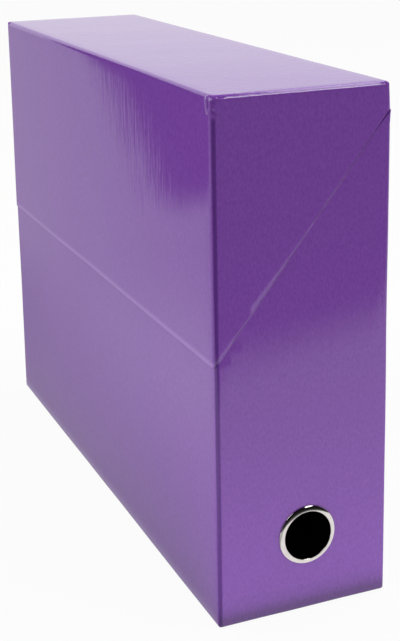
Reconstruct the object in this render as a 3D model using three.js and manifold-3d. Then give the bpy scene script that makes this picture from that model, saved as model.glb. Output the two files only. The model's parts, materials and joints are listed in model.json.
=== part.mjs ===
// Archive storage box: a rigid board case in glossy violet paper, with a hinged lid and a metal finger ring.
// The case is one folded box that a single slanted cut parts into a body and a lid. The cut runs from half
// way up one large side to a crease near the top of the other, and there only the covering paper holds.
// Units are millimetres. X runs across the spine, Y along the depth and Z up. The spine with the finger
// ring faces -Y, and the origin is at the middle of the base.

import * as THREE from 'three';
import { RoundedBoxGeometry } from 'three/addons/geometries/RoundedBoxGeometry.js';
import { mergeVertices } from 'three/addons/utils/BufferGeometryUtils.js';
import Module from 'manifold-3d';

const wasm = await Module();
wasm.setup();

// Case, outside sizes
const caseWidth = 90;
const caseDepth = 340;
const caseHeight = 255;
const boardThickness = 2.2;
const foldRadius = 2.6;
const foldSteps = 5;

// Slanted cut between the body and the lid
const cutHeight = 130;
const hingeDrop = 12;
const kerf = 0.3;
const hingeClearance = 0.15;
const lidStep = 0.6;

// Band of covering paper that runs up to the crease
const coverThickness = 0.3;
const hingeBandHeight = 14;
const hingeBandSetback = 1;
const hingeBandEndMargin = 1.4;

// Finger ring: a stamped eyelet with a rolled flange outside and a clinched end inside
const ringX = 2;
const ringHeight = 39.2;
const ringHoleRadius = 12.2;
const ringMetal = 0.5;
const flangeOverlap = 1.8;
const flangeRise = 1.6;
const clinchWidth = 1.4;
const ringFit = 0.3;
const ringSteps = 64;

// Washer that backs the spine board under the clinched end
const washerThickness = 0.6;
const washerWidth = 2.6;

// Faces and heights that the ring and the cuts are placed by
const hingeHeight = caseHeight - hingeDrop;
const spineY = -caseDepth / 2;
const wallRight = caseWidth / 2;
const wallLeft = -caseWidth / 2;
const barrelRadius = ringHoleRadius + ringMetal;
const boardHoleRadius = barrelRadius + ringFit;
const flangeRadius = boardHoleRadius + flangeOverlap;
const washerBack = boardThickness + washerThickness;
const cutMargin = 20;

// Turns a closed geometry into a solid that can be joined and cut
function solidOf(geometry) {
  const bare = geometry.clone();
  bare.deleteAttribute('normal');
  bare.deleteAttribute('uv');
  const merged = mergeVertices(bare);
  const mesh = new wasm.Mesh({
    numProp: 3,
    vertProperties: Float32Array.from(merged.attributes.position.array),
    triVerts: Uint32Array.from(merged.index.array),
  });
  return new wasm.Manifold(mesh);
}

// Gives a solid back as a geometry
function geometryOf(solid) {
  const mesh = solid.getMesh();
  const geometry = new THREE.BufferGeometry();
  geometry.setAttribute('position', new THREE.BufferAttribute(mesh.vertProperties, 3));
  geometry.setIndex(new THREE.BufferAttribute(mesh.triVerts, 1));
  geometry.computeVertexNormals();
  return geometry;
}

// Box between two corners
function boxBetween(low, high) {
  const size = high.map((value, axis) => value - low[axis]);
  const middle = high.map((value, axis) => (value + low[axis]) / 2);
  return new THREE.BoxGeometry(...size).translate(...middle);
}

// Board case with soft folds outside and square corners inside, its left wall at a given x
function hollowCase(left) {
  const width = wallRight - left;
  const outside = new RoundedBoxGeometry(width, caseDepth, caseHeight, foldSteps, foldRadius);
  outside.translate((left + wallRight) / 2, 0, caseHeight / 2);
  const inside = boxBetween(
    [left + boardThickness, spineY + boardThickness, boardThickness],
    [wallRight - boardThickness, -spineY - boardThickness, caseHeight - boardThickness],
  );
  return solidOf(outside).subtract(solidOf(inside));
}

// Everything under the slanted cut, or over it, with its face moved off the cut by half the kerf
function cutHalf(side) {
  const axisX = wallRight + hingeClearance;
  const slope = (hingeHeight - cutHeight) / (axisX - wallLeft);
  const lift = side * (kerf / 2) * Math.hypot(1, slope);
  const nearX = wallLeft - cutMargin;
  const farX = wallRight + cutMargin;
  const heightAt = (x) => hingeHeight + slope * (x - axisX) + lift;
  const endZ = side > 0 ? 2 * caseHeight : -caseHeight;
  const outline = new THREE.Shape([
    new THREE.Vector2(nearX, heightAt(nearX)),
    new THREE.Vector2(farX, heightAt(farX)),
    new THREE.Vector2(farX, endZ),
    new THREE.Vector2(nearX, endZ),
  ]);
  const length = caseDepth + 2 * cutMargin;
  const prism = new THREE.ExtrudeGeometry(outline, { depth: length, bevelEnabled: false });
  prism.rotateX(Math.PI / 2).translate(0, length / 2, 0);
  return solidOf(prism);
}

// Round plug along Y that cuts the finger hole through the spine board
function fingerHoleCut() {
  const plug = new THREE.CylinderGeometry(
    boardHoleRadius, boardHoleRadius, boardThickness + 2 * cutMargin, ringSteps,
  );
  plug.translate(ringX, spineY + boardThickness / 2, ringHeight);
  return solidOf(plug);
}

// Shallow seat for the band of covering paper, just below the crease
const bandTop = hingeHeight - hingeBandSetback;
const bandLow = [wallRight - coverThickness, spineY + foldRadius + hingeBandEndMargin, bandTop - hingeBandHeight];
const bandHigh = [wallRight, -spineY - foldRadius - hingeBandEndMargin, bandTop];

function bandSeat() {
  return solidOf(boxBetween(bandLow, [wallRight + cutMargin, bandHigh[1], bandTop + cutMargin]));
}

function boxBody() {
  const shell = hollowCase(wallLeft + lidStep).intersect(cutHalf(-1));
  return geometryOf(shell.subtract(fingerHoleCut()).subtract(bandSeat()));
}

function boxLid() {
  return geometryOf(hollowCase(wallLeft).intersect(cutHalf(1)));
}

// Points of an arc around (r, y), from one angle to another in degrees
function arc(r, y, radius, fromDegrees, toDegrees, steps) {
  return Array.from({ length: steps + 1 }, (_, step) => {
    const angle = THREE.MathUtils.degToRad(fromDegrees + (toDegrees - fromDegrees) * step / steps);
    return new THREE.Vector2(r + radius * Math.cos(angle), y + radius * Math.sin(angle));
  });
}

// Section of the finger ring: y = 0 is the outer face of the spine, and +y runs into the case
function fingerRing() {
  const crownRadius = (flangeRadius - ringHoleRadius) / 2;
  const crownMiddle = ringHoleRadius + crownRadius;
  const crownBase = crownRadius - flangeRise;
  const clinchBack = washerBack + ringMetal;
  const profile = [
    new THREE.Vector2(barrelRadius, 0),
    new THREE.Vector2(barrelRadius, washerBack),
    new THREE.Vector2(barrelRadius + clinchWidth, washerBack),
    new THREE.Vector2(barrelRadius + clinchWidth, clinchBack),
    ...arc(ringHoleRadius + ringMetal, clinchBack - ringMetal, ringMetal, 90, 180, 3),
    ...arc(crownMiddle, crownBase, crownRadius, -180, 0, 12),
    new THREE.Vector2(flangeRadius, 0),
    new THREE.Vector2(barrelRadius, 0),
  ];
  return geometryOf(solidOf(new THREE.LatheGeometry(profile, ringSteps)));
}

function ringWasher() {
  const profile = [
    new THREE.Vector2(boardHoleRadius, boardThickness),
    new THREE.Vector2(boardHoleRadius + washerWidth, boardThickness),
    new THREE.Vector2(boardHoleRadius + washerWidth, washerBack),
    new THREE.Vector2(boardHoleRadius, washerBack),
    new THREE.Vector2(boardHoleRadius, boardThickness),
  ];
  return geometryOf(solidOf(new THREE.LatheGeometry(profile, ringSteps)));
}

const paper = { color: 0x8a53b0, roughness: 0.28, metalness: 0 };
const nickel = { color: 0xd2d0cc, roughness: 0.16, metalness: 1 };

function piece(name, geometry, finish) {
  const mesh = new THREE.Mesh(geometry, new THREE.MeshStandardMaterial(finish));
  mesh.name = name;
  return mesh;
}

const body = piece('box_body', boxBody(), paper);
const lid = piece('box_lid', boxLid(), paper);
const hingeBand = piece('hinge_band', boxBetween(bandLow, bandHigh), paper);
const ring = piece('finger_ring', fingerRing(), nickel);
const washer = piece('ring_washer', ringWasher(), nickel);
for (const round of [ring, washer]) {
  round.position.set(ringX, spineY, ringHeight);
}

// The flange stands proud of the spine, so the case moves back by half of that to centre the whole
const group = new THREE.Group();
group.position.y = flangeRise / 2;
group.add(body, lid, hingeBand, ring, washer);

export default group;
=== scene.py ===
# %% [markdown]
# # A glossy archive box with a slanted lid
#
# This lesson dresses a rigid board box in Blender. The real box is folded from two millimetre board, wrapped
# in violet laminated paper and cut once on a slant, so that its upper part becomes the lid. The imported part
# gives every size, and each new piece goes exactly where the part says.

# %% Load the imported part
import json
import math

import bmesh
import bpy
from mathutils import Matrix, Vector, noise


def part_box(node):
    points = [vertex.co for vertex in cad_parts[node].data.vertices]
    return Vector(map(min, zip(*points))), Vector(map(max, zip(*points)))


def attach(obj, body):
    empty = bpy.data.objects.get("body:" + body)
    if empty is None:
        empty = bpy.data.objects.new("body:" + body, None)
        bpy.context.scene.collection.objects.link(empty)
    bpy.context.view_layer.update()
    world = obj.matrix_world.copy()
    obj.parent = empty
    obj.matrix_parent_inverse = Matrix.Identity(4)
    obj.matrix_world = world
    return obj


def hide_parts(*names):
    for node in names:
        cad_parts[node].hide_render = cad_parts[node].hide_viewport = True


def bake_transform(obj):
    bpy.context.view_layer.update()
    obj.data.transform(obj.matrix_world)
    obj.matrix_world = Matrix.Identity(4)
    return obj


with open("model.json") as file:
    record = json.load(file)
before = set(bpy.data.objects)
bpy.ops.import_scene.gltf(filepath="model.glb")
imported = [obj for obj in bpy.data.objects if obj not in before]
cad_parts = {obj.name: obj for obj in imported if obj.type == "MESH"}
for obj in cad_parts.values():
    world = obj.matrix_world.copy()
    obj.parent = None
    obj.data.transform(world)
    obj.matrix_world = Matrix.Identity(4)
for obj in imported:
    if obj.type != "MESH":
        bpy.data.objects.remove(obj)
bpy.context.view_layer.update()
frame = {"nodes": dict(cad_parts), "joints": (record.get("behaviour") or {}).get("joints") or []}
MM = 0.001


def in_mm(place):
    return [round(value / MM, 2) for value in place]


# %% [markdown]
# ## Read the case from the part
#
# The lid's box gives the outside of the case on the left, because the body's left wall stands a little
# further in and makes the small step at the cut. The body's box gives the base and the right wall, and the
# joint gives the crease that the lid turns about. Reading these from the part, and not typing them again,
# keeps the two models together.

# %% Measure the case and the crease
lid_low, lid_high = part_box("box_lid")
body_low, body_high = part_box("box_body")
case_low = Vector((lid_low.x, lid_low.y, body_low.z))
case_high = Vector((body_high.x, lid_high.y, lid_high.z))
spine_y = lid_low.y
crease = Vector(frame["joints"][0]["pos_m"])
print("case from", in_mm(case_low), "to", in_mm(case_high), "with the crease at", in_mm(crease))

# %% [markdown]
# ## Helpers for modelling by hand
#
# Operators act on whatever is selected, and the loaded part is selected, so every step starts by clearing
# the selection. Edges and faces are then picked in code, by where they lie, as a hand would pick them with
# the mouse.


# %% Small helpers
def fresh(name):
    """Names the newest object and settles its place into its mesh."""
    made = bpy.context.object
    made.name = name
    made.data.name = name
    bpy.ops.object.transform_apply(location=True, rotation=True, scale=True)
    return made


def only(obj):
    """Makes one object the selected and active one, in object mode."""
    if bpy.context.object and bpy.context.object.mode != "OBJECT":
        bpy.ops.object.mode_set(mode="OBJECT")
    bpy.ops.object.select_all(action="DESELECT")
    obj.select_set(True)
    bpy.context.view_layer.objects.active = obj


def edit(obj, mode="EDGE"):
    """Opens one object in edit mode with nothing selected."""
    only(obj)
    bpy.ops.object.mode_set(mode="EDIT")
    bpy.ops.mesh.select_mode(type=mode)
    bpy.ops.mesh.select_all(action="DESELECT")


def pick(obj, kind, test):
    """Selects the vertices, edges or faces that pass a test, in edit mode."""
    mesh = bmesh.from_edit_mesh(obj.data)
    for part in getattr(mesh, kind):
        if test(part):
            part.select_set(True)
    mesh.select_flush_mode()
    bmesh.update_edit_mesh(obj.data)


def done(obj):
    bpy.ops.object.mode_set(mode="OBJECT")
    return obj


print("solids in the part:", ", ".join(sorted(frame["nodes"])))

# %% [markdown]
# ## The folded case
#
# The real box is a scored blank of board folded up and wrapped in paper, so its edges are soft folds and not
# knife edges. A cube is added at the full size, its edges are bevelled round, and the long edges are cut
# into a grid, so that the big panels have points to wave with. The lid and the body each start as a whole
# case and lose the half that belongs to the other, which makes their faces meet along the cut.

# %% Fold two whole cases
fold_radius = 2.6 * MM
fold_steps = 8
grid_spacing = 6 * MM
shortest_panel_edge = 12 * MM


def folded_case(name, low, high):
    bpy.ops.object.select_all(action="DESELECT")
    bpy.ops.mesh.primitive_cube_add(size=1, location=(low + high) / 2, scale=high - low)
    case = fresh(name)
    edit(case)
    bpy.ops.mesh.select_all(action="SELECT")
    bpy.ops.mesh.bevel(offset=fold_radius, segments=fold_steps, profile=0.5, affect="EDGES")
    for axis in range(3):
        bpy.ops.mesh.select_all(action="DESELECT")

        def runs_along(edge):
            span = edge.verts[1].co - edge.verts[0].co
            return span.length > shortest_panel_edge and abs(span[axis]) > 0.99 * span.length

        pick(case, "edges", runs_along)
        bpy.ops.mesh.subdivide(number_cuts=int((high[axis] - low[axis]) / grid_spacing))
    done(case)
    print(name, "is folded with", len(case.data.polygons), "faces")
    return case


body_case_low = Vector((body_low.x, case_low.y, case_low.z))
lid = folded_case("lid_shell", case_low, case_high)
body = folded_case("body_shell", body_case_low, case_high)

# %% [markdown]
# ## Finer faces at the pinched corner
#
# Where three folds meet there is too much paper for the corner, and the front left corner of the lid shows
# it as fine creases. A crease needs faces smaller than itself, so the edges near that corner are halved
# again and again. Each round reaches less far, so the rest of the lid stays light.

# %% Halve the edges near the corner
lid_corner = Vector((lid_low.x, lid_low.y, lid_high.z))
reach_and_longest_edge = ((20, 3.0), (19, 1.5), (17, 0.9), (12.5, 0.45), (11, 0.24))

for reach, longest in reach_and_longest_edge:

    def long_and_near(item):
        away = (item.verts[0].co + item.verts[1].co) / 2 - lid_corner
        return item.calc_length() > longest * MM and max(abs(value) for value in away) < reach * MM

    edit(lid, "EDGE")
    pick(lid, "edges", long_and_near)
    bpy.ops.mesh.subdivide(number_cuts=1)
    done(lid)
print("lid faces with the finer corner:", len(lid.data.polygons))

# %% [markdown]
# ## Soft waves in the panels
#
# Board that has been wrapped in paper is never quite flat: the glue pulls it into waves a hand wide and
# less than a third of a millimetre deep. They hardly change the outline, but on a glossy sheet they bend
# every reflection. The points are moved along their normals by smooth noise that depends only on their
# place, so two pieces that meet wave together. The noise rarely passes 0.6, and taking that much off it lets
# the panels sink in places and hardly ever grow past the part.

# %% Wave the panels
broad_scale, broad_depth = 14, 0.20
fine_scale, fine_depth = 45, 0.04
highest_noise = 0.6


def wave_depth(point):
    broad = noise.noise(point * broad_scale + Vector((3.1, 7.7, 1.3)))
    fine = noise.noise(point * fine_scale + Vector((9.2, 0.4, 5.5)))
    return (broad_depth * (broad - highest_noise) + fine_depth * (fine - highest_noise)) * MM


def move_points(obj, depth_at):
    """Moves each point along its normal by depth_at(place)."""
    edit(obj, "VERT")
    mesh = bmesh.from_edit_mesh(obj.data)
    mesh.normal_update()
    moves = [(vert, vert.normal * depth_at(vert.co)) for vert in mesh.verts]
    for vert, move in moves:
        vert.co += move
    bmesh.update_edit_mesh(obj.data)
    return done(obj)


for case in (lid, body):
    depths = [wave_depth(vert.co) / MM for vert in case.data.vertices]
    move_points(case, wave_depth)
    print(case.name, "waves between", round(min(depths), 2), "and", round(max(depths), 2), "mm")

# %% [markdown]
# ## The board's thickness
#
# The board could be drawn as two skins, but a Solidify modifier gives every point its partner inside at the
# board's thickness, and follows the waves by itself. The thickness goes inwards, so the outside keeps its
# size.

# %% Thicken both cases
board = 2.2 * MM


def apply_modifier(obj, kind, **settings):
    only(obj)
    made = obj.modifiers.new(kind.lower(), kind)
    for key, value in settings.items():
        setattr(made, key, value)
    bpy.ops.object.modifier_apply(modifier=made.name)


for case in (lid, body):
    apply_modifier(case, "SOLIDIFY", thickness=board, offset=-1, use_even_offset=True)
    print(case.name, "is board of", round(board / MM, 1), "mm with", len(case.data.polygons), "faces")

# %% [markdown]
# ## One slanted cut
#
# The factory cuts the folded case once, and the two halves are the body and the lid. Bisect makes that cut,
# and bridging the outer edge to the inner one closes the cut edge of the board. The paper is turned in over
# it, so the edge gets a small round, which catches the light as a fine line.

# %% Cut the cases and close the board's edge
kerf = 0.3 * MM
cut_height = 130 * MM
turned_edge = 0.35 * MM
slope = (crease.z - cut_height) / (crease.x - lid_low.x)
cut_normal = Vector((-slope, 0, 1)).normalized()


def keep_side(case, side):
    """Keeps what lies over the cut if side is 1, or under it if side is -1."""
    lift = side * kerf / 2
    place = crease + cut_normal * lift
    edit(case)
    bpy.ops.mesh.select_all(action="SELECT")
    bpy.ops.mesh.bisect(plane_co=place, plane_no=cut_normal, clear_inner=side > 0, clear_outer=side < 0)
    bpy.ops.mesh.select_all(action="DESELECT")
    pick(case, "edges", lambda edge: edge.is_boundary)
    bpy.ops.mesh.bridge_edge_loops()
    bpy.ops.mesh.select_all(action="DESELECT")

    def on_cut(edge):
        return all(abs((vert.co - crease).dot(cut_normal) - lift) < 1e-6 for vert in edge.verts)

    pick(case, "edges", lambda edge: on_cut(edge) and edge.calc_face_angle(0) > math.radians(20))
    bpy.ops.mesh.bevel(offset=turned_edge, segments=3, profile=0.5, affect="EDGES", clamp_overlap=True)
    return done(case)


keep_side(lid, 1)
keep_side(body, -1)
print("the cut climbs at", round(math.degrees(math.atan(slope)), 1), "degrees")

# %% [markdown]
# ## Tight folds and soft folds
#
# The folds round the spine's left and upper edges are soft, and the ones at the base, the back and the hinge
# side were creased harder. A point on a fold lies on a quarter circle. Pushing it out towards the corner of
# the square makes the fold tighter, and the push grows slowly from the soft folds to the tight ones. Points
# inside the board lie nearer the circle's middle, and stay where they are.

# %% Tighten some of the folds
squareness = 4
tighten_rate = 2.5
outer_points, full_points = 0.5, 0.85


def sharpen_folds(case, low, high):
    """Moves the points of the tight folds from a circle to a squarer curve, and counts them."""
    moved = 0
    for vert in case.data.vertices:
        depths = [min(vert.co[i] - low[i], high[i] - vert.co[i]) for i in range(3)]
        shares = [max(0.0, 1 - depth / fold_radius) for depth in depths]
        spread = sum(share**2 for share in shares)
        if spread < outer_points or sum(share > 0.01 for share in shares) < 2:
            continue
        on_high_x = shares[0] if vert.co.x > 0 else 0.0
        on_back = shares[1] if vert.co.y > 0 else 0.0
        on_base = shares[2] if vert.co.z < high.z / 2 else 0.0
        tight = min(1.0, tighten_rate * max(on_high_x, on_back, on_base))
        tight *= min(1.0, (spread - outer_points) / (full_points - outer_points))
        squarer = sum(share**squareness for share in shares) ** (-1 / squareness)
        push = tight * (squarer / spread**-0.5 - 1)
        moved += push > 0
        for i, share in enumerate(shares):
            outward = 1 if vert.co[i] > (low[i] + high[i]) / 2 else -1
            vert.co[i] += outward * push * share * fold_radius
    return moved


print("points on the lid's tight folds:", sharpen_folds(lid, case_low, case_high))
print("points on the body's tight folds:", sharpen_folds(body, body_case_low, case_high))

# %% [markdown]
# ## The pinched corner
#
# The maker tucks the paper under at the corner and it puckers: a thin flap edge stands on the side, the tip
# is flattened, and creases run down across the spine. Sculpting would do it by eye. Here each crease is a
# narrow ridge or groove between two measured places, which fades out along its length, so it stays where
# the real one is.

# %% Crush the front corner of the lid
tip_depth, tip_width = -0.75, 3.2
crush_reach, crush_face = 26, 1.6
side_creases = (
    ((4.9, 0.8), (3.0, 8.0), 0.55, 1.0),
    ((2.8, 1.0), (2.0, 6.5), -0.35, 0.6),
)
spine_creases = (
    ((1.6, 4.8), (4.2, 7.8), 0.26, 0.45),
    ((0.4, 7.6), (2.5, 10.0), 0.22, 0.45),
    ((1.2, 6.2), (2.5, 8.4), -0.35, 0.5),
    ((1.9, 2.2), (2.0, 4.4), -0.35, 0.45),
    ((3.6, 1.7), (7.0, 1.9), 0.20, 0.3),
    ((3.6, 1.1), (7.0, 1.2), -0.16, 0.3),
)


def bell(distance, width):
    return math.exp(-((distance / width) ** 2))


def crease_line(a, b, start, end, height, width):
    """A ridge, or a groove if height is negative, between two places on a face, in millimetres."""
    along = ((end[0] - start[0]), (end[1] - start[1]))
    length = math.hypot(*along)
    share = ((a - start[0]) * along[0] + (b - start[1]) * along[1]) / length**2
    across = ((a - start[0]) * along[1] - (b - start[1]) * along[0]) / length
    if not -0.1 < share < 1.1:
        return 0.0
    fade_in = max(0.0, min(1.0, (share + 0.1) / 0.25))
    fade_out = max(0.0, min(1.0, (1.1 - share) / 0.35))
    return height * (fade_in * fade_out) * bell(across, width)


def crush_depth(point):
    """How far the paper at the corner stands out of the folded board."""
    along_spine, back, down = ((point - lid_corner) * Vector((1, 1, -1))) / MM
    if max(along_spine, back, down) > crush_reach or min(along_spine, back, down) > crush_face:
        return 0.0
    depth = tip_depth * bell(math.hypot(along_spine, back, down), tip_width)
    if along_spine < crush_face and back > along_spine:
        for line in side_creases:
            depth += crease_line(back, down, *line)
    if back < crush_face and along_spine >= back:
        for line in spine_creases:
            depth += crease_line(along_spine, down, *line)
        depth -= 0.20 * bell(math.hypot((along_spine - 9.5) * 0.6, (down - 13.5) * 1.6), 2.6)
    return depth * MM


move_points(lid, crush_depth)
print("creases at the corner:", len(side_creases), "on the side and", len(spine_creases), "on the spine")

# %% [markdown]
# ## The gap by the crease
#
# At the front end of the crease the lid stands open by less than a millimetre, because the paper there pulls
# on the board. Turning the lid would open the whole cut, so the edge of the body is lowered instead, only in
# the last few millimetres.

# %% Lower the front end of the body's cut edge
gap_depth = 0.75 * MM
gap_length = 9 * MM
gap_width = 7 * MM
gap_fade = 6 * MM
gap_height = 3 * MM
lowered = 0
for vert in body.data.vertices:
    under = (crease - vert.co).dot(cut_normal)
    near_front = max(0.0, 1 - (vert.co.y - spine_y) / gap_length)
    near_crease = max(0.0, min(1.0, (vert.co.x - crease.x + gap_width) / gap_fade))
    near_cut = max(0.0, 1 - under / gap_height)
    share = near_front * near_crease * near_cut
    vert.co -= cut_normal * (gap_depth * share)
    lowered += share > 0
print("points lowered at the gap:", lowered)

# %% [markdown]
# ## The finger hole
#
# A round hole is punched through the spine before the ring goes in. A short cylinder cuts it with a boolean,
# which leaves a clean edge for the ring to cover.

# %% Punch the finger hole
ring_low, ring_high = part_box("finger_ring")
ring_middle = (ring_low + ring_high) / 2
ring_x, ring_z = ring_middle.x, ring_middle.z
punch_radius = 13 * MM
punch_length = 30 * MM
bpy.ops.object.select_all(action="DESELECT")
bpy.ops.mesh.primitive_cylinder_add(
    vertices=96,
    radius=punch_radius,
    depth=punch_length,
    location=(ring_x, spine_y, ring_z),
    rotation=(math.pi / 2, 0, 0),
)
punch = fresh("punch")
apply_modifier(body, "BOOLEAN", operation="DIFFERENCE", object=punch, solver="EXACT")
bpy.data.objects.remove(punch)
print("hole", round(2 * punch_radius / MM, 1), "mm wide at", in_mm((ring_x, spine_y, ring_z)))

# %% [markdown]
# ## The strip over the crease
#
# Between the crease and the top there is only a narrow strip of the lid, and the pull of the hinge paper
# leans it in a little. Each point moves in by its height over the crease, and the hinge paper will use the
# same rule, so the two stay together.

# %% Lean the strip in
lean_at_top = 0.6 * MM
strip_depth = 5 * MM


def lean_in(point):
    """How far a point on the strip moves along x."""
    over = (point.z - crease.z) / (case_high.z - crease.z)
    return -lean_at_top * max(0.0, over) if point.x > case_high.x - strip_depth else 0.0


for vert in lid.data.vertices:
    vert.co.x += lean_in(vert.co)
print("the strip leans in", round(lean_at_top / MM, 1), "mm at its top")

# %% [markdown]
# ## A seat for the hinge paper
#
# At the crease the covering paper is the hinge. It runs on from the body to the lid, so it is a piece of its
# own here, laid into a seat a quarter of a millimetre deep in the outside of the right wall. Two close cuts
# make the step, and the points beyond them move in.

# %% Sink the seat into both shells
seat_depth = 0.25 * MM
seat_low = crease.z - 15 * MM
seat_high = crease.z + 9.5 * MM
seat_front = case_low.y + fold_radius
seat_back = case_high.y - fold_radius
seat_step = 0.12 * MM
wall_skin = 1.5 * MM
outer_skin = 0.55 * MM
slack = 0.01 * MM


def sink_seat(case, edge_z, inward):
    def on_right_wall(face):
        return face.normal.x > 0.9 and face.calc_center_median().x > case_high.x - wall_skin

    for step in (0.0, seat_step):
        edit(case, "FACE")
        pick(case, "faces", on_right_wall)
        bpy.ops.mesh.bisect(plane_co=(0, 0, edge_z + inward * step), plane_no=(0, 0, 1))
    limit = edge_z + inward * (seat_step - 2 * slack)

    def in_seat(vert):
        inside = seat_front - slack < vert.co.y < seat_back + slack
        return inside and vert.co.x > case_high.x - outer_skin and (vert.co.z - limit) * inward > 0

    edit(case, "VERT")
    pick(case, "verts", in_seat)
    bpy.ops.transform.translate(value=(-seat_depth, 0, 0))
    return done(case)


sink_seat(body, seat_low, 1)
sink_seat(lid, seat_high, -1)
print("seat", round((seat_high - seat_low) / MM, 1), "mm high and", round(seat_depth / MM, 2), "mm deep")

# %% [markdown]
# ## Lining paper inside
#
# The cover is turned in over the board's edge for a finger's width, and a plain dark sheet is glued over the
# rest. The inner faces are cut twice along the turned-in edge, a hair apart, and everything beyond is raised
# by the thickness of a sheet, so the step between the two papers is real. The faces of the lining get the
# second material slot.

# %% Raise the lining
turn_in = 14 * MM
lining_thickness = 0.18 * MM
lining_step = 0.12 * MM
inner_skin = 1.6 * MM


def in_from_outside(point):
    """How deep a point lies under the nearest outer face of the case."""
    return min(min(point[i] - case_low[i], case_high[i] - point[i]) for i in range(3))


def line_inside(case, side):
    for distance in (turn_in, turn_in + lining_step):
        edit(case, "FACE")
        pick(case, "faces", lambda face: in_from_outside(face.calc_center_median()) > inner_skin)
        bpy.ops.mesh.bisect(plane_co=crease + cut_normal * side * distance, plane_no=cut_normal)
    done(case)

    def past_turn_in(point):
        return (point - crease).dot(cut_normal) * side - turn_in

    def lining_depth(point):
        lined = in_from_outside(point) > inner_skin and past_turn_in(point) > lining_step / 2
        return lining_thickness if lined else 0.0

    move_points(case, lining_depth)
    case.data.materials.clear()
    case.data.materials.append(None)
    case.data.materials.append(None)
    for face in case.data.polygons:
        lined = in_from_outside(face.center) > inner_skin and past_turn_in(face.center) > 0
        face.material_index = 1 if lined else 0
    lined_faces = sum(face.material_index for face in case.data.polygons)
    print(case.name, "has lining on", lined_faces, "of", len(case.data.polygons), "faces")


line_inside(lid, 1)
line_inside(body, -1)

# %% [markdown]
# ## Smooth and sharp edges
#
# Smooth shading by angle keeps the folds soft and the cut edges crisp, so it comes after the last change to
# the two shells.


# %% Shade the shells
def smooth(obj, degrees):
    only(obj)
    bpy.ops.object.shade_smooth_by_angle(angle=math.radians(degrees))
    print(obj.name, "is smooth up to", degrees, "degrees")


smooth(lid, 35)
smooth(body, 35)

# %% [markdown]
# ## The hinge paper
#
# A grid stands in the seat, with extra rows cut at the crease, and the scored crease itself is a shallow
# groove. It gets the same waves and the same lean as the shells under it.

# %% Lay the hinge paper
paper_thickness = 0.22 * MM
crease_rows = 12
crease_reach = 1.5 * MM
score_height, score_width = 0.10 * MM, 0.45 * MM
bpy.ops.object.select_all(action="DESELECT")
bpy.ops.mesh.primitive_grid_add(
    x_subdivisions=5,
    y_subdivisions=66,
    size=1,
    location=(case_high.x, (seat_front + seat_back) / 2, (seat_low + seat_high) / 2),
    rotation=(0, math.pi / 2, 0),
)
bpy.ops.transform.resize(value=(1, seat_back - seat_front, seat_high - seat_low))
hinge_paper = fresh("hinge_paper")
for row in range(crease_rows + 1):
    edit(hinge_paper, "FACE")
    bpy.ops.mesh.select_all(action="SELECT")
    height = crease.z - crease_reach + 2 * crease_reach * row / crease_rows
    bpy.ops.mesh.bisect(plane_co=(0, 0, height), plane_no=(0, 0, 1))
done(hinge_paper)


def score_depth(point):
    return wave_depth(point) - score_height * bell(point.z - crease.z, score_width)


move_points(hinge_paper, score_depth)
for vert in hinge_paper.data.vertices:
    vert.co.x += lean_in(vert.co)
apply_modifier(hinge_paper, "SOLIDIFY", thickness=paper_thickness, offset=-1)
smooth(hinge_paper, 60)
print("hinge paper points:", len(hinge_paper.data.vertices))

# %% [markdown]
# ## The finger ring's section
#
# The real ring is a stamped eyelet: a flat rolled flange outside, a short barrel through the board and an
# end that is spread over a washer inside. One side of its section is drawn as a list of (distance from the
# ring's axis, depth) with the depth growing into the box. Elliptic arcs make the narrow inner lip and the
# long outer slope, which mirror different parts of the room.

# %% Draw the ring's section
hole_radius = 12.2 * MM
flange_radius = (ring_high.x - ring_low.x) / 2
flange_rise = 1.3 * MM
flange_edge = 0.15 * MM
lip_width = 0.3 * MM
lip_radius = hole_radius + lip_width
lip_depth = 0.85 * MM
metal = 0.5 * MM
clinch = 3.3 * MM
spread_end = hole_radius + 1.7 * MM
slope_start = math.radians(35)


def ellipse_points(middle, across, deep, start, end, steps):
    """Points of an elliptic arc, with its angles in degrees."""
    angles = [math.radians(start + (end - start) * step / steps) for step in range(steps + 1)]
    return [(middle[0] + across * math.cos(a), middle[1] + deep * math.sin(a)) for a in angles]


inner_lip = ellipse_points((lip_radius, -lip_depth), lip_width, flange_rise - lip_depth, 180, 276, 10)
slope_width = (flange_radius - lip_radius) / (1 - math.sin(slope_start))
slope_middle = (flange_radius - slope_width, -flange_edge)
slope_depth = (flange_rise - flange_edge) / math.cos(slope_start)
outer_slope = ellipse_points(slope_middle, slope_width, slope_depth, 305, 360, 18)
section = [
    *inner_lip,
    *outer_slope[1:],
    (flange_radius - 0.1 * MM, 0.10 * MM),
    (hole_radius + metal, 0.12 * MM),
    (hole_radius + metal, clinch - metal),
    (spread_end, clinch - metal),
    *ellipse_points((spread_end, clinch - metal / 2), metal / 2, metal / 2, -60, 60, 4),
    (spread_end, clinch),
    *ellipse_points((hole_radius + metal, clinch - metal), metal, metal, 90, 180, 5),
    (hole_radius, 0.6 * MM),
]
print("ring stations:", len(section), "with the flange", round(flange_radius / MM, 2), "mm from the axis")

# %% [markdown]
# ## The finger ring
#
# Spin would turn the section round the axis in one step. Here one circle is added and extruded along the
# section, station by station, as a spinner presses the metal over a form, and the last circle is bridged to
# the first.


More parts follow.
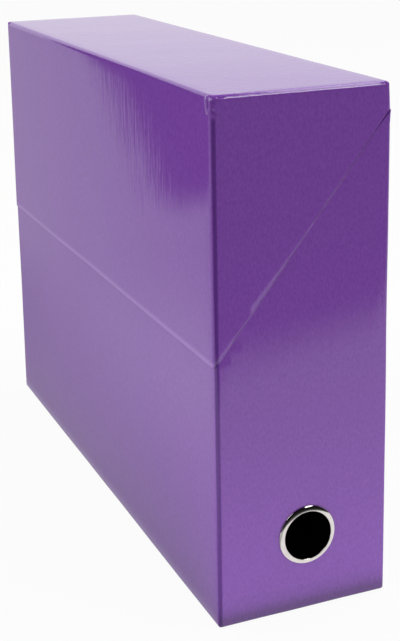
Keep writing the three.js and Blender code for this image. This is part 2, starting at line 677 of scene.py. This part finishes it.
# %% Extrude the ring along its section
def turned_ring(name, stations, segments):
    """A closed section turned round the finger hole's axis."""
    bpy.ops.object.select_all(action="DESELECT")
    bpy.ops.mesh.primitive_circle_add(
        vertices=segments,
        radius=stations[0][0],
        location=(ring_x, spine_y + stations[0][1], ring_z),
        rotation=(math.pi / 2, 0, 0),
    )
    ring = fresh(name)
    edit(ring)
    bpy.ops.mesh.select_all(action="SELECT")
    for before, after in zip(stations, stations[1:]):
        bpy.ops.mesh.extrude_edges_move()
        wider = after[0] / before[0]
        bpy.ops.transform.resize(value=(wider, 1, wider))
        bpy.ops.transform.translate(value=(0, after[1] - before[1], 0))
    bpy.ops.mesh.select_all(action="DESELECT")
    pick(ring, "edges", lambda edge: edge.is_boundary)
    bpy.ops.mesh.bridge_edge_loops()
    bpy.ops.mesh.select_all(action="SELECT")
    bpy.ops.mesh.normals_make_consistent(inside=False)
    return done(ring)


finger_ring = turned_ring("finger_ring_polished", section, 128)
smooth(finger_ring, 40)
print("ring faces:", len(finger_ring.data.polygons))

# %% [markdown]
# ## Helpers for materials
#
# A material is a small tree of nodes. Each helper adds one kind of node, sets it up and links it, so that a
# finish reads as a recipe. Every pattern uses Object coordinates, which stay on the piece when it moves.


# %% Material helpers
def node(tree, kind, inputs=None, **settings):
    """Adds a shader node, sets it up, and links or sets its inputs."""
    made = tree.nodes.new("ShaderNode" + kind)
    for key, value in settings.items():
        setattr(made, key, value)
    for key, value in (inputs or {}).items():
        if isinstance(value, bpy.types.NodeSocket):
            tree.links.new(value, made.inputs[key])
        else:
            made.inputs[key].default_value = value
    return made


def new_material(name):
    material = bpy.data.materials.new(name)
    material.use_nodes = True
    tree = material.node_tree
    place = node(tree, "TexCoord").outputs["Object"]
    print("new material:", name)
    return material, tree, tree.nodes["Principled BSDF"], place


def noise_at(tree, place, scale, stretch=(1, 1, 1), detail=2.0, rough=0.5):
    """Noise over Object coordinates, stretched along each axis, from 0 to 1."""
    mapping = node(tree, "Mapping", {"Vector": place, "Scale": stretch})
    inputs = {"Vector": mapping.outputs[0], "Scale": scale, "Detail": detail, "Roughness": rough}
    return node(tree, "TexNoise", inputs).outputs["Fac"]


def ramp(tree, value, low, high, low_colour, high_colour):
    """A colour that goes from low_colour to high_colour as value goes from low to high."""
    made = node(tree, "ValToRGB", {"Fac": value})
    first, last = made.color_ramp.elements
    first.position, first.color = low, low_colour
    last.position, last.color = high, high_colour
    return made.outputs["Color"]


def fade(tree, value, start, end, low=0.0, high=1.0):
    """A smooth step from low to high as value goes from start to end."""
    inputs = {"Value": value, "From Min": start, "From Max": end, "To Min": low, "To Max": high}
    return node(tree, "MapRange", inputs, interpolation_type="SMOOTHSTEP").outputs["Result"]


def maths(tree, operation, first, second=0.0):
    return node(tree, "Math", {0: first, 1: second}, operation=operation).outputs[0]


def vector_maths(tree, operation, first, second):
    return node(tree, "VectorMath", {0: first, 1: second}, operation=operation).outputs


def blend_colours(tree, share, first, second):
    return node(tree, "Mix", {0: share, 6: first, 7: second}, data_type="RGBA").outputs[2]


def bump(tree, height, depth, under=None):
    """Bump whose full height is depth, laid on another bump if one is given."""
    inputs = {"Strength": 1.0, "Distance": depth, "Height": height}
    if under is not None:
        inputs["Normal"] = under
    return node(tree, "Bump", inputs).outputs["Normal"]


print("materials that came with the part:", ", ".join(sorted(made.name for made in bpy.data.materials)))

# %% [markdown]
# ## Wear along the cut, a painted highlight and painted shade along the fold
#
# Two masks come before the colour. Hands rub the film along the cut edges pale, most of all at the crease,
# where the box is opened. Above the cut on the left side, where the lid's proud edge would catch the light,
# a soft pale band is painted on as a highlight. Along the fold left of the spine a darker violet is painted
# on as shade. Both masks are measured from the cut and from the folds, so they follow the box and need no
# texture painting.

# %% Masks for the worn and the stretched paper
rub_core, rub_edge = 0.15 * MM, 0.38 * MM
rub_far_from_crease = 0.3
glint_core, glint_edge = 0.6 * MM, 2.4 * MM
glint_share = 0.30
# Where the painted shade along the fold starts and stops, measured in from the left side.
fold_shade_start, fold_shade_end = 0.5 * MM, 3.0 * MM
corner_spared = 8 * MM


def rubbed_edge_and_painted_glint(tree, place):
    """1 where the cut edges are rubbed pale, up to 0.3 as painted highlight above the left cut, else 0."""
    from_crease = vector_maths(tree, "SUBTRACT", place, crease)["Vector"]
    height = vector_maths(tree, "DOT_PRODUCT", from_crease, cut_normal)["Value"]
    across = node(tree, "SeparateXYZ", {"Vector": place}).outputs["X"]

    line = fade(tree, maths(tree, "ABSOLUTE", height), rub_core, rub_edge, 1.0, 0.0)
    patches = fade(tree, noise_at(tree, place, 70, detail=3.0, rough=0.6), 0.30, 0.60, 0.45, 1.0)
    paled = fade(tree, across, 5 * MM, 34 * MM, 1.0, rub_far_from_crease)
    off_side = fade(tree, across, case_low.x + 1.0 * MM, case_low.x + 2.5 * MM)
    patchy_line = maths(tree, "MULTIPLY", line, patches)
    thin_line = maths(tree, "MULTIPLY", patchy_line, maths(tree, "MULTIPLY", paled, off_side))

    # A painted highlight: a soft pale band just above the cut on the left side, where the lid's proud edge
    # would catch the light.
    above = fade(tree, height, 0.1 * MM, 0.3 * MM)
    painted_glint_band = maths(tree, "MULTIPLY", above, fade(tree, height, glint_core, glint_edge, glint_share, 0.0))
    on_side = fade(tree, across, case_low.x + 1.2 * MM, case_low.x + 0.8 * MM)
    return maths(tree, "ADD", thin_line, maths(tree, "MULTIPLY", painted_glint_band, on_side))


def painted_fold_shade(tree, place):
    """1 along the soft fold left of the spine, where shade is painted on as a darker violet."""
    axes = node(tree, "SeparateXYZ", {"Vector": place}).outputs
    starts = fade(tree, axes["X"], case_low.x + fold_shade_start, case_low.x + 1.2 * MM)
    stops = fade(tree, axes["X"], case_low.x + 2.1 * MM, case_low.x + fold_shade_end, 1.0, 0.0)
    in_front = fade(tree, axes["Y"], spine_y + 2.0 * MM, spine_y + 1.2 * MM)
    spared_from = case_high.z - corner_spared
    below_corner = fade(tree, axes["Z"], spared_from, spared_from - 4 * MM, 0.2, 1.0)
    band = maths(tree, "MULTIPLY", starts, stops)
    return maths(tree, "MULTIPLY", band, maths(tree, "MULTIPLY", in_front, below_corner))


print("rubbed line up to", round(2 * rub_edge / MM, 2), "mm wide")
print("stretched fold", round((fold_shade_end - fold_shade_start) / MM, 1), "mm wide")


# %% [markdown]
# ## Glossy violet laminate
#
# The cover is printed paper under a clear film. One smooth layer with an index just over 1.5 gives what the
# photo shows: deep violet where it is seen straight on, and a pale wash of the white studio at a low angle.
# A fine fibre mottle breaks up the colour, and two shallow bumps give the film its orange peel and the
# ripple of the paper under it.

# %% Mix the laminate
deep_violet, light_violet = (0.170, 0.050, 0.328, 1), (0.222, 0.071, 0.412, 1)
# The pale violet is rubbed wear on the cut edges and also a painted highlight on the lid's left edge.
rubbed_and_highlight_violet = (0.50, 0.30, 0.70, 1)
# The darker violet is painted shade along the soft fold left of the spine.
fold_shade_violet = (0.075, 0.016, 0.175, 1)
fold_shade_share = 0.75
peel_depth = 0.02 * MM
ripple_depth = 0.060 * MM


def laminate():
    material, tree, shader, place = new_material("glossy_violet_laminate")
    grain = noise_at(tree, place, 1300, (1, 1, 0.4), 3.0, 0.6)
    fibres = ramp(tree, grain, 0.30, 0.72, deep_violet, light_violet)
    # The pale colour is rubbed wear along the cut and a painted highlight above the cut on the left side.
    paled = blend_colours(tree, rubbed_edge_and_painted_glint(tree, place), fibres, rubbed_and_highlight_violet)
    # Along the fold left of the spine a darker violet is painted on as shade.
    painted_shade = maths(tree, "MULTIPLY", painted_fold_shade(tree, place), fold_shade_share)
    colour = blend_colours(tree, painted_shade, paled, fold_shade_violet)
    tree.links.new(colour, shader.inputs["Base Color"])
    shader.inputs["Roughness"].default_value = 0.06
    shader.inputs["IOR"].default_value = 1.55
    peel = bump(tree, noise_at(tree, place, 170, (1, 1, 0.5)), peel_depth)
    ripple = bump(tree, noise_at(tree, place, 330, (1, 1, 0.14), 3.0, 0.55), ripple_depth, peel)
    tree.links.new(ripple, shader.inputs["Normal"])
    return material


violet = laminate()

# %% [markdown]
# ## Lining paper and nickel
#
# The lining is a matt charcoal paper with a soft fibre. The ring is nickel plate: a mirror with faint
# polishing lines round it and a slightly warm tint.

# %% Mix the lining and the nickel
dark_charcoal, light_charcoal = (0.020, 0.019, 0.022, 1), (0.042, 0.040, 0.045, 1)
dark_nickel, light_nickel = (0.60, 0.565, 0.55, 1), (0.68, 0.64, 0.625, 1)
polish_depth = 0.0004 * MM


def lining_paper():
    material, tree, shader, place = new_material("charcoal_lining_paper")
    fibre = noise_at(tree, place, 700, detail=4.0, rough=0.65)
    colour = ramp(tree, fibre, 0.30, 0.70, dark_charcoal, light_charcoal)
    tree.links.new(colour, shader.inputs["Base Color"])
    shader.inputs["Roughness"].default_value = 0.85
    tree.links.new(bump(tree, fibre, 0.02 * MM), shader.inputs["Normal"])
    return material


def nickel_plate():
    material, tree, shader, place = new_material("nickel_plate")
    lines = noise_at(tree, place, 300, (1, 9, 1))
    colour = ramp(tree, lines, 0.30, 0.70, dark_nickel, light_nickel)
    tree.links.new(colour, shader.inputs["Base Color"])
    shader.inputs["Metallic"].default_value = 1.0
    shader.inputs["Roughness"].default_value = 0.06
    tree.links.new(bump(tree, lines, polish_depth), shader.inputs["Normal"])
    return material


lining = lining_paper()
nickel = nickel_plate()

# %% [markdown]
# ## Dress the pieces
#
# The two shells take the laminate in their first slot and the lining in their second. The washer's own solid
# has the right shape, so it stays and only gets the nickel.

# %% Put the materials on
for shell_piece in (lid, body):
    shell_piece.data.materials[0] = violet
    shell_piece.data.materials[1] = lining
hinge_paper.data.materials.append(violet)
finger_ring.data.materials.append(nickel)
washer = frame["nodes"]["ring_washer"]
washer.data.materials.clear()
washer.data.materials.append(nickel)
print("dressed:", ", ".join(piece.name for piece in (lid, body, hinge_paper, finger_ring, washer)))

# %% [markdown]
# ## Tie the pieces to the part
#
# The lid, the body and the ring each ride on one body of the part and stand for one of its solids. The
# hinge paper spans both bodies, so here it rides on neither: the part's hinge band is hidden and the paper's
# place is settled into its mesh.

# %% Ride the pieces on their bodies
for piece, rides_on, stands_for, finish in (
    (lid, "lid", "box_lid", "glossy_paper"),
    (body, "body", "box_body", "glossy_paper"),
    (finger_ring, "body", "finger_ring", "nickel"),
):
    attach(piece, rides_on)
    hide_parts(stands_for)
    print(piece.name, "rides on", rides_on)
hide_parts("hinge_band")
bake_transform(hinge_paper)

# %% [markdown]
# ## The studio floor
#
# The photo's studio is a white sweep in a dark room. On gloss the room matters as much as the lamps: the
# violet turns pale where it mirrors the white sweep, and stays deep where it mirrors the dark. So the floor
# is white for the camera and takes the box's shadow, and in mirror reflections it falls off to dark where
# the photo's own reflections do, in front, behind and beside the box. The fades below are places on the
# floor in metres and the light left there.

# %% Lay the floor
floor_below = 0.2 * MM
floor_grey = 0.64
white_share = 0.94
bpy.ops.object.select_all(action="DESELECT")
bpy.ops.mesh.primitive_plane_add(size=14, location=(0, 0, -floor_below))
floor = fresh("floor")
floor_material, tree, shader, place = new_material("pale_floor")
shader.inputs["Base Color"].default_value = (floor_grey, floor_grey, floor_grey, 1)
shader.inputs["Roughness"].default_value = 0.9
shader.inputs["Specular IOR Level"].default_value = 0.0
across = node(tree, "SeparateXYZ", {"Vector": place})
beside = fade(tree, across.outputs["X"], -0.17, -0.07, 0.80, 0.54)
side_level = maths(tree, "ADD", beside, fade(tree, across.outputs["X"], -0.05, -0.04, 0.0, 0.58))
back_level = fade(tree, across.outputs["Y"], 0.02, 0.45, 1.0, 0.72)
slanted = maths(tree, "MULTIPLY", maths(tree, "SUBTRACT", across.outputs["X"], 0.088), 0.28)
front_level = fade(tree, maths(tree, "ADD", across.outputs["Y"], slanted), -0.535, -0.44, 0.14, 1.0)
mirrored = maths(tree, "MULTIPLY", maths(tree, "MULTIPLY", side_level, back_level), front_level)
rays = node(tree, "LightPath").outputs
level = maths(tree, "ADD", rays["Is Camera Ray"], maths(tree, "MULTIPLY", rays["Is Glossy Ray"], mirrored))
glow = node(tree, "Emission", {"Color": (1, 1, 1, 1), "Strength": level})
white = maths(tree, "MULTIPLY", rays["Is Camera Ray"], white_share)
share = maths(tree, "ADD", white, rays["Is Glossy Ray"])
blend = node(tree, "MixShader", {"Fac": share, 1: shader.outputs["BSDF"], 2: glow.outputs["Emission"]})
tree.links.new(blend.outputs["Shader"], tree.nodes["Material Output"].inputs["Surface"])
floor.data.materials.append(floor_material)
print("floor", round(floor_below / MM, 1), "mm under the box")

# %% [markdown]
# ## The room around it
#
# The world stands for the walls. The camera sees it white. Its soft light on the box comes mostly from above
# and from behind, and gloss mirrors it bright behind the box and dark in front, as in the photo. A picture
# of a studio could do this, but three fades over the direction are enough and are easy to change.

# %% Light the room
world = bpy.context.scene.world or bpy.data.worlds.new("studio")
bpy.context.scene.world = world
world.use_nodes = True
sky = world.node_tree
front_left = (-0.35, -0.94, 0.0)
direction = node(sky, "TexCoord").outputs["Generated"]
looking = node(sky, "SeparateXYZ", {"Vector": direction}).outputs
rays = node(sky, "LightPath").outputs
to_front_left = vector_maths(sky, "DOT_PRODUCT", direction, front_left)["Value"]
from_above = fade(sky, looking["Z"], -0.1, 1.0, 0.22, 0.95)
lit = maths(sky, "MULTIPLY", from_above, fade(sky, to_front_left, -0.3, 0.8, 1.0, 0.22))
behind = fade(sky, looking["Y"], -0.25, 0.15, 0.015, 0.94)
mirror = maths(sky, "MULTIPLY", behind, fade(sky, looking["Z"], 0.35, 0.60, 1.0, 0.08))
seen = maths(sky, "MAXIMUM", rays["Is Camera Ray"], rays["Is Transmission Ray"])
in_gloss = node(sky, "Mix", {0: rays["Is Glossy Ray"], 2: lit, 3: mirror}, data_type="FLOAT").outputs[0]
strength = node(sky, "Mix", {0: seen, 2: in_gloss, 3: 1.0}, data_type="FLOAT").outputs[0]
sky.links.new(strength, sky.nodes["Background"].inputs["Strength"])
sky.nodes["Background"].inputs["Color"].default_value = (1, 1, 1, 1)
print("world nodes:", len(sky.nodes))

# %% [markdown]
# ## Softboxes and reflectors
#
# Lamps are placed by what they do on the real box: two softboxes light the left side, one in front on the
# right lights the spine and draws the bright line on the fold and the ring, and a wide one overhead lights
# the top. Two low reflectors lift the lower halves, as white card on the table would, and stay out of the
# mirror reflections. Sizes and places are in metres.


# %% Hang the softboxes
def softbox(name, location, target, size, radiance, mirrored=True):
    """A square or strip lamp of a given radiance, where 1 looks white in a mirror."""
    lamp = bpy.data.lights.new(name, "AREA")
    lamp.shape = "RECTANGLE"
    lamp.size, lamp.size_y = size
    lamp.energy = radiance * math.pi * size[0] * size[1]
    holder = bpy.data.objects.new(name, lamp)
    holder.location = location
    holder.rotation_mode = "QUATERNION"
    holder.rotation_quaternion = (Vector(target) - Vector(location)).to_track_quat("-Z", "Y")
    bpy.context.scene.collection.objects.link(holder)
    holder.visible_camera = False
    holder.visible_glossy = mirrored
    print(name, size, "m at radiance", radiance)


softbox("left_back_softbox", (-1.3, 0.75, 1.0), (0, 0, 0.13), (0.8, 0.8), 4.8)
softbox("left_front_softbox", (-1.12, -0.29, 1.39), (0, 0, 0.13), (0.75, 0.75), 2.4)
softbox("front_right_softbox", (0.72, -1.15, 1.25), (0, -0.1, 0.13), (0.40, 0.36), 9.0)
softbox("overhead_softbox", (0.85, -0.06, 1.42), (0, 0, 0.1), (2.0, 0.55), 3.9)
softbox("floor_reflector", (0.06, -0.245, 0.004), (0.06, -0.245, 1.0), (0.50, 0.14), 1.1, mirrored=False)
softbox("left_reflector", (-0.22, -0.05, 0.004), (-0.22, -0.05, 1.0), (0.22, 0.45), 0.8, mirrored=False)

# %% [markdown]
# ## The dark part of the room
#
# In the photo the left side mirrors a dark opening of the room behind the box, with a slanted right edge and
# a ragged lower one. An upright card that only mirror reflections see gives that patch, and its edges fade
# so that no hard line crosses the side. It is stage, and no part of the box.

# %% Stand the dark card
card_level = 0.02
ragged_depth = 0.02
lean_share = 0.411


def dark_card(name, size, middle):
    """An upright card that only mirror reflections see, fading out at its lower and right edges."""
    bpy.ops.object.select_all(action="DESELECT")
    bpy.ops.mesh.primitive_plane_add(size=1, location=middle, rotation=(math.pi / 2, 0, 0))
    bpy.ops.transform.resize(value=(size[0], 1, size[1]))
    card = fresh(name)
    material, tree, shader, place = new_material(name)
    axes = node(tree, "SeparateXYZ", {"Vector": place}).outputs
    streaks = noise_at(tree, place, 60, (1, 1, 0.35), 4.0)
    ragged = maths(tree, "MULTIPLY", maths(tree, "SUBTRACT", streaks, 0.5), ragged_depth)
    lean = maths(tree, "SUBTRACT", axes["X"], maths(tree, "MULTIPLY", axes["Z"], lean_share))
    over_base = fade(tree, maths(tree, "ADD", axes["Z"], ragged), 0.022, 0.062)
    left_of_lean = fade(tree, maths(tree, "ADD", lean, ragged), -0.262, -0.294)
    dark = maths(tree, "MULTIPLY", over_base, left_of_lean)
    clear = node(tree, "BsdfTransparent").outputs[0]
    glow = node(tree, "Emission", {"Color": (1, 1, 1, 1), "Strength": card_level}).outputs[0]
    blend = node(tree, "MixShader", {"Fac": dark, 1: clear, 2: glow}).outputs[0]
    tree.links.new(blend, tree.nodes["Material Output"].inputs["Surface"])
    card.data.materials.append(material)
    card.visible_camera = False
    card.visible_diffuse = False
    card.visible_shadow = False
    card.visible_transmission = False
    print(name, size, "m, centred on", middle)


dark_card("dark_room_left", (0.42, 0.43), (-0.36, 0.45, 0.225))

# %% [markdown]
# ## Camera
#
# The photo was taken from in front and to the left, a little above the box, and its uprights were kept
# nearly parallel. So the camera looks down less than a plain one would to hold the box in the frame, and the
# lens is shifted to make up for it. Place, turn and lens were fitted to the outline of the box in the photo.

# %% Set the camera
camera_data = bpy.data.cameras.new("photo_camera")
camera_data.sensor_width = 36
camera_data.lens = 75.0
camera_data.shift_y = -0.219
camera = bpy.data.objects.new("photo_camera", camera_data)
camera.location = (-0.2658, -0.6904, 0.3492)
camera.rotation_euler = [math.radians(a) for a in (76.964, 0.988, -22.706)]
bpy.context.scene.collection.objects.link(camera)
bpy.context.scene.camera = camera
bpy.context.scene.view_settings.view_transform = "Standard"
print("camera at", in_mm(camera.location), "mm with a", camera_data.lens, "mm lens")
